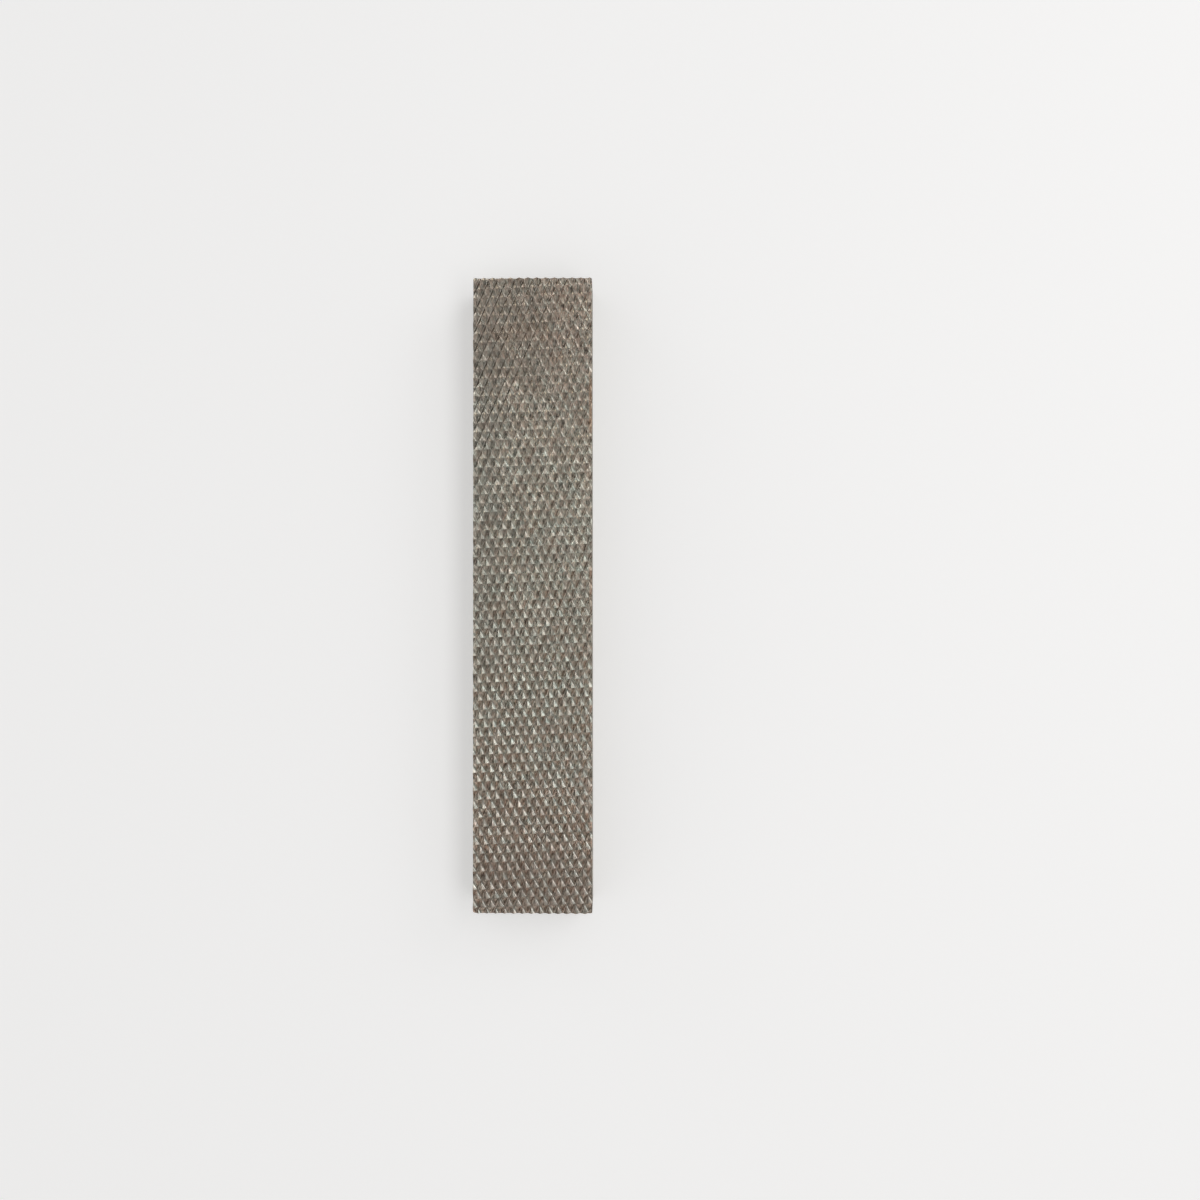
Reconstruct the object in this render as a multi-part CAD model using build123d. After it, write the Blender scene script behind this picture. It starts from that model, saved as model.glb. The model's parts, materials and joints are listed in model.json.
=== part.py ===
from build123d import *
import math
import os

# Serrated vise jaw insert, in millimetres
# One hardened steel bar. Two crossed sets of V-grooves leave rows of pointed diamond teeth on its
# gripping face and run out over all four of its edges. Its flat back, which seats against the vise
# jaw, has two blind tapped holes with countersunk mouths. No hole reaches the teeth.
# X is across the bar, Y along it and Z out of the teeth. The origin is the middle of the back.

# Bar, over the tips of the teeth
LENGTH = 203.2
WIDTH = 38.1
THICKNESS = 15.875

# Grooves: the pitch is square to them, and each set is turned from the bar's length by its angle
GROOVE_PITCH = 2.54
GROOVE_HALF_ANGLE = 45.0
FIRST_GROOVE_TURN = 28.6
SECOND_GROOVE_TURN = -24.0

# Holes tapped 3/8-16, drilled to the thread's minor diameter
HOLE_DIAMETER = 7.94
HOLE_FROM_END = 25.4
HOLE_FLOOR = 1.2
DRILL_HALF_ANGLE = 59.0
COUNTERSINK_RIM = 1.98
COUNTERSINK_HALF_ANGLE = 45.0

# Bevels along the two long edges of the back
WIDE_BEVEL = 1.0
NARROW_BEVEL = 0.3

# A cutting block runs past the bar by this much
OVERRUN = 2.0

# Worked out from the sizes above
GROOVE_DEPTH = GROOVE_PITCH / 2 / math.tan(math.radians(GROOVE_HALF_ANGLE))
HOLE_RADIUS = HOLE_DIAMETER / 2
DRILL_POINT = HOLE_RADIUS / math.tan(math.radians(DRILL_HALF_ANGLE))
HOLE_DEPTH = THICKNESS - GROOVE_DEPTH - HOLE_FLOOR - DRILL_POINT
COUNTERSINK_DEPTH = COUNTERSINK_RIM / math.tan(math.radians(COUNTERSINK_HALF_ANGLE))
HOLE_OFFSET = LENGTH / 2 - HOLE_FROM_END


def bar_blank():
    """The plain bar on its back, with its two long back edges bevelled."""
    bar = Box(WIDTH, LENGTH, THICKNESS, align=(Align.CENTER, Align.CENTER, Align.MIN))
    for side, bevel in ((0, WIDE_BEVEL), (-1, NARROW_BEVEL)):
        back = bar.faces().sort_by(Axis.Z)[0]
        long_edges = back.edges().filter_by(Axis.Y).sort_by(Axis.X)
        bar = chamfer(long_edges[side], bevel)
    return bar


def ridged_block(turn):
    """A block with one set of V-grooves in its top, larger than the bar and turned about Z.

    One of its crests passes over the axis of the -Y hole, so a tooth's tip stands there."""
    reach = math.hypot(LENGTH, WIDTH) / 2 + GROOVE_PITCH
    half_count = math.ceil(reach / GROOVE_PITCH)
    root_z = THICKNESS - GROOVE_DEPTH
    side_x = (half_count + 0.5) * GROOVE_PITCH
    outline = [(-side_x, -OVERRUN), (-side_x, root_z)]
    for tooth in range(-half_count, half_count + 1):
        outline.append((tooth * GROOVE_PITCH, THICKNESS))
        outline.append(((tooth + 0.5) * GROOVE_PITCH, root_z))
    outline.append((side_x, -OVERRUN))
    profile = make_face(Plane.XZ * Polyline(*outline, close=True))
    block = extrude(profile, amount=reach, both=True)
    crest_x = -HOLE_OFFSET * math.sin(math.radians(turn)) % GROOVE_PITCH
    return Rot(0, 0, turn) * Pos(crest_x, 0, 0) * block


def hole_cutter():
    """One blind hole, upright on the origin: countersunk mouth, drilled wall and drill point."""
    outline = Polyline(
        (0, 0),
        (HOLE_RADIUS + COUNTERSINK_RIM, 0),
        (HOLE_RADIUS, COUNTERSINK_DEPTH),
        (HOLE_RADIUS, HOLE_DEPTH),
        (0, HOLE_DEPTH + DRILL_POINT),
        close=True,
    )
    return revolve(make_face(Plane.XZ * outline), Axis.Z)


def jaw_insert():
    """The finished insert: the bar within both sets of ridges, less its two holes."""
    bar = bar_blank()
    bar &= ridged_block(FIRST_GROOVE_TURN)
    bar &= ridged_block(SECOND_GROOVE_TURN)
    bar -= [Pos(0, y, 0) * hole_cutter() for y in (-HOLE_OFFSET, HOLE_OFFSET)]
    return bar


os.makedirs("parts", exist_ok=True)
export_step(jaw_insert(), "parts/jaw_insert.step")
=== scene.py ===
"""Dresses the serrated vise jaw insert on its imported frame.

The insert is one hardened steel bar. Its front face has two crossed sets of V-grooves that leave pointed
teeth, and its back has two tapped holes. The bar is modelled here with its groove roots, threads and wear,
given its finishes, and set in a plain studio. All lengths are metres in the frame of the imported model.
"""

import json
import logging
import math
from contextlib import contextmanager
from dataclasses import dataclass
from enum import Enum
from typing import Callable, Iterator

import bmesh
import bpy
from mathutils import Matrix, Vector


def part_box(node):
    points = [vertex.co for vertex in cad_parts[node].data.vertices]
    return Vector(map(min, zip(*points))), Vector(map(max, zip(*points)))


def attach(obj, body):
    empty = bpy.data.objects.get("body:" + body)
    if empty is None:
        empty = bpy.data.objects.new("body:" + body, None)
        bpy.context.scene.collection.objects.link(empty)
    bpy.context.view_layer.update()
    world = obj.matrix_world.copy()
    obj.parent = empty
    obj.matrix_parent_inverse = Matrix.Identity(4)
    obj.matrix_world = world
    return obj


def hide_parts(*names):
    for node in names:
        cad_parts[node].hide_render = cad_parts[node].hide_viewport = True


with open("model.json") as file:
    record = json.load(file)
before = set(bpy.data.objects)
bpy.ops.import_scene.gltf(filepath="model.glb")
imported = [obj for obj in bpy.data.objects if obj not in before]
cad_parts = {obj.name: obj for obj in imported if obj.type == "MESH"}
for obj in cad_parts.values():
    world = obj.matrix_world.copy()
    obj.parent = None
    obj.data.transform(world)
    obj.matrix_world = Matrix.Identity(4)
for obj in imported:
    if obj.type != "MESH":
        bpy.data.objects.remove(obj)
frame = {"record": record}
log = logging.getLogger("jaw_insert")

MM = 0.001

# How close counts as in line with a place, and how close two vertices are merged
NEAR = MM / 100
MERGED = MM / 1000

# The names in the frame and in the scene, and where the sizes are written
NODE = "jaw_insert"
PIECE = "jaw_insert_steel"
BODY = "root"

# What tells the toothed front and the holes from the rest when the finishes are given
TOOTH_DEPTH = 1.5 * MM
LEAST_SLOPE = 0.2
HOLE_REACH = 6.0 * MM

Socket = bpy.types.NodeSocket
COLOUR = "NodeSocketColor"
GREY = (0.5, 0.5, 0.5, 1.0)
WHITE = (1.0, 1.0, 1.0, 1.0)


class Element(Enum):
    """The kinds of mesh element that edit mode selects."""

    VERTEX = ("VERT", "verts")
    EDGE = ("EDGE", "edges")
    FACE = ("FACE", "faces")


class Area(Enum):
    """The bar's areas, each with its own finish and material slot."""

    TOOTHED = 0
    GROUND = 1
    TAPPED = 2


# Modelling helpers


def activate(piece: bpy.types.Object) -> None:
    """Makes a piece the only selected and the active object.

    Args:
        piece: The object to work on.
    """
    bpy.ops.object.select_all(action="DESELECT")
    piece.select_set(True)
    bpy.context.view_layer.objects.active = piece


@contextmanager
def editing(piece: bpy.types.Object, element: Element) -> Iterator[None]:
    """Opens a piece in edit mode with nothing selected, and goes back to object mode afterwards.

    Args:
        piece: The object to edit.
        element: What edit mode selects.

    Returns:
        A context for one spell of edit mode.
    """
    activate(piece)
    bpy.ops.object.mode_set(mode="EDIT")
    bpy.ops.mesh.select_mode(type=element.value[0])
    bpy.ops.mesh.select_all(action="DESELECT")
    yield
    bpy.ops.object.mode_set(mode="OBJECT")


def pick(piece: bpy.types.Object, element: Element, wanted: Callable[[object], bool]) -> int:
    """Selects the elements of a piece in edit mode that pass a test, and no others.

    Args:
        piece: The object in edit mode.
        element: The kind of element.
        wanted: Says whether one element is selected.

    Returns:
        How many elements are selected.
    """
    bpy.ops.mesh.select_all(action="DESELECT")
    mesh = bmesh.from_edit_mesh(piece.data)
    found = [item for item in getattr(mesh, element.value[1]) if wanted(item)]
    for item in found:
        item.select_set(True)
    mesh.select_flush_mode()
    bmesh.update_edit_mesh(piece.data)
    return len(found)


def slice_off(place: Vector, outward: Vector, keep_both: bool = False) -> None:
    """Bisects all of the piece in edit mode by a plane, and cuts off and closes the outward side.

    Args:
        place: A point of the plane.
        outward: The plane's normal.
        keep_both: Whether the plane only scores the piece.
    """
    bpy.ops.mesh.select_all(action="SELECT")
    bpy.ops.mesh.bisect(plane_co=place, plane_no=outward, use_fill=not keep_both, clear_outer=not keep_both)


def extrude(move: Vector) -> None:
    """Extrudes the selected faces in edit mode and moves the new ones.

    Args:
        move: How far the new faces move.
    """
    bpy.ops.mesh.extrude_region_move(TRANSFORM_OT_translate={"value": move})


def finish_modifier(piece: bpy.types.Object, kind: str, **settings: object) -> None:
    """Adds a modifier to a piece with its settings, and applies it.

    Args:
        piece: The object to change.
        kind: The modifier's type.
        settings: The modifier's properties.
    """
    activate(piece)
    bpy.ops.object.modifier_add(type=kind)
    modifier = piece.modifiers[-1]
    for name, value in settings.items():
        setattr(modifier, name, value)
    bpy.ops.object.modifier_apply(modifier=modifier.name)


def cut_away(piece: bpy.types.Object, cutter: bpy.types.Object) -> None:
    """Takes a cutter's volume out of a piece, and deletes the cutter.

    Args:
        piece: The object that is cut.
        cutter: A closed mesh.
    """
    finish_modifier(piece, "BOOLEAN", operation="DIFFERENCE", object=cutter, solver="MANIFOLD")
    bpy.data.objects.remove(cutter)


def settle_transform(piece: bpy.types.Object) -> None:
    """Puts a piece's place, turn and scale into its mesh.

    Args:
        piece: The object to settle.
    """
    activate(piece)
    bpy.ops.object.transform_apply(location=True, rotation=True, scale=True)


def turn_outward(piece: bpy.types.Object) -> None:
    """Makes every face of a closed piece point outwards.

    Args:
        piece: The closed object.
    """
    with editing(piece, Element.FACE):
        bpy.ops.mesh.select_all(action="SELECT")
        bpy.ops.mesh.normals_make_consistent(inside=False)


# The bar


@dataclass
class Blank:
    """The bar before its teeth are cut, with its bevelled edges and rounded corners."""

    low: Vector
    high: Vector
    spare: float = 0.5 * MM
    wide_bevel: float = 1.0 * MM
    narrow_bevel: float = 0.3 * MM
    end_bevel: float = 0.15 * MM
    foot_left_radius: float = 1.0 * MM
    foot_right_radius: float = 0.7 * MM
    head_radius: float = 0.5 * MM
    cell: float = 1.6 * MM
    levels: int = 5
    corner_steps: int = 4
    corner_reach: float = 0.1 * MM

    def build(self) -> bpy.types.Object:
        """Models the blank from a grid that is extruded to a block and sliced along its back edges.

        Returns:
            The blank, a little thicker than the finished bar.
        """
        size = self.high - self.low
        cells = [round(side / self.cell) for side in (size.x, size.y)]
        bpy.ops.mesh.primitive_grid_add(x_subdivisions=cells[0], y_subdivisions=cells[1], size=1.0)
        blank = bpy.context.object
        blank.name = PIECE
        blank.data.name = PIECE
        blank.scale = (size.x, size.y, 1.0)
        blank.location = ((self.low.x + self.high.x) / 2, (self.low.y + self.high.y) / 2, self.low.z)
        settle_transform(blank)
        with editing(blank, Element.FACE):
            bpy.ops.mesh.select_all(action="SELECT")
            extrude(Vector((0.0, 0.0, size.z + self.spare)))
        turn_outward(blank)
        self.round_corners(blank)
        self.bevel_back(blank)
        return blank

    def round_corners(self, blank: bpy.types.Object) -> None:
        """Rounds the four upright corner edges, the two lower ones more than the upper ones.

        Args:
            blank: The block.
        """
        corners = (
            (Vector((self.low.x, self.low.y)), self.foot_left_radius),
            (Vector((self.high.x, self.low.y)), self.foot_right_radius),
            (Vector((self.low.x, self.high.y)), self.head_radius),
            (Vector((self.high.x, self.high.y)), self.head_radius),
        )
        for corner, radius in corners:
            with editing(blank, Element.EDGE):
                def upright(edge: bmesh.types.BMEdge) -> bool:
                    """Says whether an edge stands at this corner of the bar."""
                    return all((v.co.xy - corner).length < self.corner_reach for v in edge.verts)

                pick(blank, Element.EDGE, upright)
                bpy.ops.mesh.bevel(offset=radius, segments=self.corner_steps, affect="EDGES")

    def bevel_back(self, blank: bpy.types.Object) -> None:
        """Slices the four back edges at 45 degrees, and scores the sides at even heights.

        Args:
            blank: The block.
        """
        cuts = [
            (Vector((self.low.x + self.wide_bevel, 0.0, self.low.z)), Vector((-1.0, 0.0, -1.0))),
            (Vector((self.high.x - self.narrow_bevel, 0.0, self.low.z)), Vector((1.0, 0.0, -1.0))),
            (Vector((0.0, self.low.y + self.end_bevel, self.low.z)), Vector((0.0, -1.0, -1.0))),
            (Vector((0.0, self.high.y - self.end_bevel, self.low.z)), Vector((0.0, 1.0, -1.0))),
        ]
        with editing(blank, Element.FACE):
            for place, outward in cuts:
                slice_off(place, outward)
            for level in range(1, self.levels + 1):
                height = self.low.z + (self.high.z - self.low.z) * level / (self.levels + 2)
                slice_off(Vector((0.0, 0.0, height)), Vector((0.0, 0.0, 1.0)), keep_both=True)


@dataclass
class Serration:
    """One set of parallel V-grooves across the bar's front, cut at a turn from its long axis."""

    turn: float
    root_radius: float
    root_steps: int
    pitch: float = 2.54 * MM
    half_angle: float = math.radians(45.0)
    tip_land: float = 0.07 * MM
    headroom: float = 4.0 * MM
    spare_pitches: int = 4

    def build_cutter(self, low: Vector, high: Vector, crest: Vector) -> bpy.types.Object:
        """Models the gang of cutters that leaves this set of grooves, as one ridged slab.

        Args:
            low: The bar's lowest corner.
            high: The bar's highest corner.
            crest: A point that the tip of a tooth stands over.

        Returns:
            The closed slab, whose underside is the groove profile.
        """
        reach = (high.xy - low.xy).length + self.spare_pitches * self.pitch
        count = 2 * math.ceil(reach / self.pitch / 2)
        first = -count / 2 * self.pitch
        drop = self.tip_land / 2 / math.tan(self.half_angle)
        depth = self.pitch / 2 / math.tan(self.half_angle) - drop
        middle = first + self.pitch / 2
        bpy.ops.mesh.primitive_plane_add(size=1.0, location=(middle, 0.0, high.z - drop))
        cutter = bpy.context.object
        cutter.scale = (self.pitch, reach, 1.0)
        settle_transform(cutter)
        with editing(cutter, Element.EDGE):
            for offset in (-(self.pitch - self.tip_land) / 2, 0.0, (self.pitch - self.tip_land) / 2):
                slice_off(Vector((middle + offset, 0.0, 0.0)), Vector((1.0, 0.0, 0.0)), keep_both=True)
            pick(cutter, Element.EDGE, lambda edge: all(abs(v.co.x - middle) < NEAR for v in edge.verts))
            bpy.ops.transform.translate(value=(0.0, 0.0, -depth))
            bpy.ops.mesh.bevel(offset=self.root_radius, segments=self.root_steps, affect="EDGES")
        finish_modifier(
            cutter,
            "ARRAY",
            count=count,
            use_relative_offset=False,
            use_constant_offset=True,
            constant_offset_displace=(self.pitch, 0.0, 0.0),
            use_merge_vertices=True,
            merge_threshold=self.tip_land / 10,
        )
        with editing(cutter, Element.FACE):
            bpy.ops.mesh.select_all(action="SELECT")
            extrude(Vector((0.0, 0.0, self.headroom)))
        turn_outward(cutter)
        normal = Vector((math.cos(self.turn), math.sin(self.turn), 0.0))
        place = normal * (crest.dot(normal) % self.pitch)
        cutter.rotation_euler.z = self.turn
        cutter.location = place
        settle_transform(cutter)
        return cutter


@dataclass
class TappedHole:
    """A blind hole from the back, drilled, countersunk and tapped."""

    centre: Vector
    minor_radius: float
    major_radius: float = 9.525 / 2 * MM
    pitch: float = 25.4 / 16 * MM
    flank_angle: float = math.radians(30.0)
    mouth_radius: float = 5.95 * MM
    shoulder_depth: float = 11.02 * MM
    thread_depth: float = 9.6 * MM
    drill_half_angle: float = math.radians(59.0)
    overrun: float = 0.6 * MM
    overlap: float = 0.3 * MM
    flat_share: float = 1 / 8
    turn_steps: int = 64
    sides: int = 96
    end_sides: int = 8

    def build_drill(self) -> bpy.types.Object:
        """Models the countersink, the bore and the drill point from a circle that is extruded in steps.

        Returns:
            The closed cutter.
        """
        start = self.mouth_radius + self.overrun
        point = self.minor_radius / math.tan(self.drill_half_angle)
        steps = [
            (start - self.minor_radius, self.minor_radius / start),
            (self.shoulder_depth - (self.mouth_radius - self.minor_radius), 1.0),
            (point, 0.0),
        ]
        bpy.ops.mesh.primitive_circle_add(
            vertices=self.sides,
            radius=start,
            fill_type="NGON",
            location=self.centre - Vector((0.0, 0.0, self.overrun)),
        )
        drill = bpy.context.object
        settle_transform(drill)
        with editing(drill, Element.FACE):
            bpy.ops.mesh.select_all(action="SELECT")
            for rise, shrink in steps:
                extrude(Vector((0.0, 0.0, rise)))
                bpy.ops.transform.resize(value=(shrink, shrink, 1.0))
            bpy.ops.mesh.select_all(action="SELECT")
            bpy.ops.mesh.remove_doubles(threshold=MERGED)
        turn_outward(drill)
        return drill

    def build_thread(self) -> bpy.types.Object:
        """Models the tap's ridge, a screwed profile that reaches from inside the bore to the major diameter.

        Returns:
            The closed cutter.
        """
        inner = self.minor_radius - self.overlap
        crest = self.pitch * self.flat_share / 2
        base = crest + (self.major_radius - inner) * math.tan(self.flank_angle)
        turns = math.ceil((self.thread_depth + self.pitch) / self.pitch)
        bpy.ops.mesh.primitive_plane_add(size=1.0, location=((inner + self.major_radius) / 2, 0.0, 0.0))
        ridge = bpy.context.object
        ridge.scale = (self.major_radius - inner, 2 * base, 1.0)
        ridge.rotation_euler.x = math.radians(90.0)
        settle_transform(ridge)
        with editing(ridge, Element.VERTEX):
            pick(ridge, Element.VERTEX, lambda vertex: vertex.co.x > (inner + self.major_radius) / 2)
            bpy.ops.transform.resize(value=(1.0, 1.0, crest / base))
            bpy.ops.mesh.select_all(action="SELECT")
            bpy.ops.mesh.delete(type="ONLY_FACE")
        finish_modifier(
            ridge,
            "SCREW",
            axis="Z",
            screw_offset=self.pitch,
            iterations=turns,
            steps=self.turn_steps,
            render_steps=self.turn_steps,
            use_merge_vertices=False,
        )
        with editing(ridge, Element.EDGE):
            bpy.ops.mesh.select_all(action="SELECT")
            bpy.ops.mesh.remove_doubles(threshold=MERGED)
            bpy.ops.mesh.select_all(action="SELECT")
            bpy.ops.mesh.fill_holes(sides=self.end_sides)
        turn_outward(ridge)
        ridge.location = self.centre + Vector((0.0, 0.0, self.thread_depth - turns * self.pitch))
        settle_transform(ridge)
        return ridge

    def cut(self, bar: bpy.types.Object) -> None:
        """Drills, countersinks and taps the hole.

        Args:
            bar: The bar.
        """
        cut_away(bar, self.build_drill())
        cut_away(bar, self.build_thread())


@dataclass
class Wear:
    """What cutting and use did to the teeth, which stand a little out of true and are rubbed at the tips."""

    low: Vector
    high: Vector
    depth: float = 1.35 * MM
    rim: float = 0.08 * MM
    sway: float = 0.15 * MM
    sway_size: float = 1.1 * MM
    rub: float = 0.28 * MM
    rub_size: float = 0.9 * MM
    rub_level: float = 0.8
    tip_height: float = 0.2 * MM
    smooth_angle: float = math.radians(28.0)

    def group(self, bar: bpy.types.Object, name: str, lowest: float) -> None:
        """Gathers the vertices above a height, and inside the bar's sides, in a vertex group.

        Args:
            bar: The bar.
            name: The group's name.
            lowest: The lowest height.
        """
        def stands(vertex: bmesh.types.BMVert) -> bool:
            """Says whether a vertex belongs to the group."""
            inside = (self.low + self.high) / 2 - vertex.co
            reach = (self.high - self.low) / 2 - Vector((self.rim, self.rim, 0.0))
            return vertex.co.z > lowest and abs(inside.x) < reach.x and abs(inside.y) < reach.y

        with editing(bar, Element.VERTEX):
            pick(bar, Element.VERTEX, stands)
            bpy.ops.object.vertex_group_add()
            bar.vertex_groups.active.name = name
            bpy.ops.object.vertex_group_assign()

    def noise(self, name: str, size: float) -> bpy.types.Texture:
        """Makes the clouds that a displacement reads.

        Args:
            name: The texture's name.
            size: The size of its patches.

        Returns:
            The texture.
        """
        texture = bpy.data.textures.new(name, "CLOUDS")
        texture.cloud_type = "COLOR"
        texture.noise_scale = size
        texture.noise_depth = 1
        return texture

    def apply(self, bar: bpy.types.Object) -> None:
        """Moves the teeth out of true, lowers their tips, and smooths what is curved.

        Args:
            bar: The bar with its teeth.
        """
        finish_modifier(bar, "TRIANGULATE")
        self.group(bar, "teeth", self.high.z - self.depth)
        self.group(bar, "tips", self.high.z - self.tip_height)
        finish_modifier(
            bar,
            "DISPLACE",
            texture=self.noise("tooth_sway", self.sway_size),
            direction="RGB_TO_XYZ",
            strength=self.sway,
            vertex_group="teeth",
        )
        finish_modifier(
            bar,
            "DISPLACE",
            texture=self.noise("tip_rub", self.rub_size),
            direction="Z",
            mid_level=self.rub_level,
            strength=self.rub,
            vertex_group="tips",
        )
        for name in ("teeth", "tips"):
            bar.vertex_groups.remove(bar.vertex_groups[name])
        activate(bar)
        bpy.ops.object.shade_smooth_by_angle(angle=self.smooth_angle)
        finish_modifier(bar, "WEIGHTED_NORMAL", keep_sharp=True)


# Node sheets


@dataclass(frozen=True)
class Ramp:
    """Two stops of a value, and what it becomes at each of them and smoothly in between."""

    low: float
    high: float
    to_low: float = 0.0
    to_high: float = 1.0


class Sheet:
    """A node tree that is filled in node by node.

    Its bands are whole at three places, on a way from 0 at the bar's foot to 1 at its head.
    """

    BANDS = (0.09, 0.5, 0.91)

    def __init__(self, tree: bpy.types.NodeTree) -> None:
        """Keeps the tree that is filled."""
        self.tree = tree

    def add(self, kind: str, inputs: dict | None = None, **settings: object) -> bpy.types.Node:
        """Adds a node, sets its properties, and links or sets its inputs.

        Args:
            kind: The node's type.
            inputs: Sockets to link or constants to set, by the input's name or number.
            settings: The node's properties.

        Returns:
            The new node.
        """
        node = self.tree.nodes.new(kind)
        for name, value in settings.items():
            setattr(node, name, value)
        for key, value in (inputs or {}).items():
            if isinstance(value, Socket):
                self.tree.links.new(value, node.inputs[key])
            else:
                node.inputs[key].default_value = value
        return node

    def maths(self, operation: str, *values: object) -> Socket:
        """Adds a Math node.

        Args:
            operation: What it works out.
            values: Its inputs in order, as sockets or numbers.

        Returns:
            The result's socket.
        """
        return self.add("ShaderNodeMath", dict(enumerate(values)), operation=operation).outputs[0]

    def plus(self, first: object, second: object) -> Socket:
        """Adds two values."""
        return self.maths("ADD", first, second)

    def minus(self, first: object, second: object) -> Socket:
        """Takes the second value from the first."""
        return self.maths("SUBTRACT", first, second)

    def times(self, first: object, second: object) -> Socket:
        """Multiplies two values."""
        return self.maths("MULTIPLY", first, second)

    def per(self, first: object, second: object) -> Socket:
        """Divides the first value by the second."""
        return self.maths("DIVIDE", first, second)

    def size_of(self, value: object) -> Socket:
        """Gives a value without its sign."""
        return self.maths("ABSOLUTE", value)

    def ramp(self, value: object, ramp: Ramp) -> Socket:
        """Adds a smooth Map Range node.

        Args:
            value: The socket to map.
            ramp: The stops, and the results at them.

        Returns:
            The result's socket.
        """
        inputs = {0: value, 1: ramp.low, 2: ramp.high, 3: ramp.to_low, 4: ramp.to_high}
        return self.add("ShaderNodeMapRange", inputs, interpolation_type="SMOOTHSTEP").outputs[0]

    def noise(
        self,
        place: object,
        scale: object,
        detail: float,
        roughness: float = 0.5,
        distortion: float = 0.0,
    ) -> Socket:
        """Adds a Noise Texture node.

        Args:
            place: The point.
            scale: How many patches there are to a unit of length.
            detail: How many finer layers it has.
            roughness: How strong the finer layers are.
            distortion: How far its patches are twisted.

        Returns:
            The value's socket.
        """
        inputs = {"Vector": place, "Scale": scale, "Detail": detail}
        inputs |= {"Roughness": roughness, "Distortion": distortion}
        return self.add("ShaderNodeTexNoise", inputs).outputs[0]

    def blend(self, share: object, first: object, second: object, mode: str = "MIX") -> Socket:
        """Adds a colour Mix node.

        Args:
            share: How much of the second colour shows.
            first: The first colour or socket.
            second: The second colour or socket.
            mode: The way the colours are mixed.

        Returns:
            The mixed colour's socket.
        """
        inputs = {"Factor": share, 6: first, 7: second}
        return self.add("ShaderNodeMix", inputs, data_type="RGBA", blend_type=mode).outputs[2]

    def tint(self, colour: object, tinge: object, share: object = 1.0) -> Socket:
        """Multiplies a colour by a tinge, as far as a share says."""
        return self.blend(share, colour, tinge, "MULTIPLY")

    def brighten(self, colour: object, factor: object) -> Socket:
        """Multiplies a colour, or a place, by a factor."""
        return self.add("ShaderNodeVectorMath", {0: colour, "Scale": factor}, operation="SCALE").outputs[0]

    def bands(self, value: object, colours: tuple) -> Socket:
        """Adds a ramp of colours at the foot, in the middle and at the head of the bar.

        Args:
            value: The socket that is mapped, from 0 at the foot to 1 at the head.
            colours: The three colours.

        Returns:
            The colour's socket.
        """
        node = self.add("ShaderNodeValToRGB", {0: value})
        node.color_ramp.elements.new(self.BANDS[1])
        for stop, position, colour in zip(node.color_ramp.elements, self.BANDS, colours):
            stop.position = position
            stop.color = (*colour, 1.0)
        return node.outputs[0]

    def object_place(self) -> Socket:
        """Gives a point's place on the piece, in metres."""
        return self.add("ShaderNodeTexCoord").outputs["Object"]

    def millimetres(self) -> Socket:
        """Gives a point's place on the piece, in millimetres."""
        return self.brighten(self.object_place(), 1.0 / MM)

    def place(self, effect: bpy.types.NodeTree, values: dict) -> dict:
        """Places an effect on the sheet with its own values.

        Args:
            effect: The effect's group.
            values: What its inputs are set or linked to.

        Returns:
            Its output sockets by name.
        """
        node = self.add("ShaderNodeGroup", values, node_tree=effect)
        return {socket.name: socket for socket in node.outputs}

    def finish(
        self,
        shader: bpy.types.Node,
        colour: object,
        rough: object,
        height: object,
        relief: float,
    ) -> None:
        """Links a finish to its shader.

        Args:
            shader: The shader.
            colour: The surface's colour.
            rough: Its roughness.
            height: Its fine relief, from 0 to 1.
            relief: How high 1 stands.
        """
        bump = self.add("ShaderNodeBump", {"Height": height, "Distance": relief})
        for name, value in (("Base Color", colour), ("Roughness", rough), ("Normal", bump.outputs[0])):
            self.tree.links.new(value, shader.inputs[name])


def report(piece: bpy.types.Object, stage: str) -> None:
    """Logs a piece's size in triangles, and how many of its edges are open.

    Args:
        piece: The object.
        stage: What was just made.
    """
    piece.data.calc_loop_triangles()
    mesh = bmesh.new()
    mesh.from_mesh(piece.data)
    loose = sum(1 for edge in mesh.edges if not edge.is_manifold)
    mesh.free()
    count = len(piece.data.loop_triangles)
    log.info("%s: %s, %d triangles, %d open edges", piece.name, stage, count, loose)


def area_of(face: bmesh.types.BMFace, top: float, holes: list[Vector]) -> Area:
    """Says which area of the bar a face belongs to.

    Args:
        face: The face.
        top: The height of the bar's front.
        holes: A point on the axis of each tapped hole.

    Returns:
        The area.
    """
    centre = face.calc_center_median()
    if centre.z > top - TOOTH_DEPTH and face.normal.z > LEAST_SLOPE:
        return Area.TOOTHED
    in_hole = any((centre.xy - hole.xy).length < HOLE_REACH for hole in holes)
    return Area.TAPPED if in_hole and centre.z > NEAR else Area.GROUND


def dress(bar: bpy.types.Object, finishes: dict, holes: list[Vector]) -> None:
    """Gives each area of the bar its finish.

    Args:
        bar: The bar.
        finishes: The finish of each area.
        holes: A point on the axis of each tapped hole.
    """
    top = max(corner[2] for corner in bar.bound_box)
    bar.data.materials.clear()
    for area in Area:
        bar.data.materials.append(finishes[area].material())
    for area in Area:
        with editing(bar, Element.FACE):
            count = pick(bar, Element.FACE, lambda face: area_of(face, top, holes) is area)
            bar.active_material_index = area.value
            bpy.ops.object.material_slot_assign()
        log.info("%s: %d faces of %s", bar.name, count, bar.data.materials[area.value].name)


# Effects that the finishes share


@dataclass(frozen=True)
class Port:
    """A named input or output of an effect."""

    name: str
    value: object = 0.0
    kind: str = "NodeSocketFloat"


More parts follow.
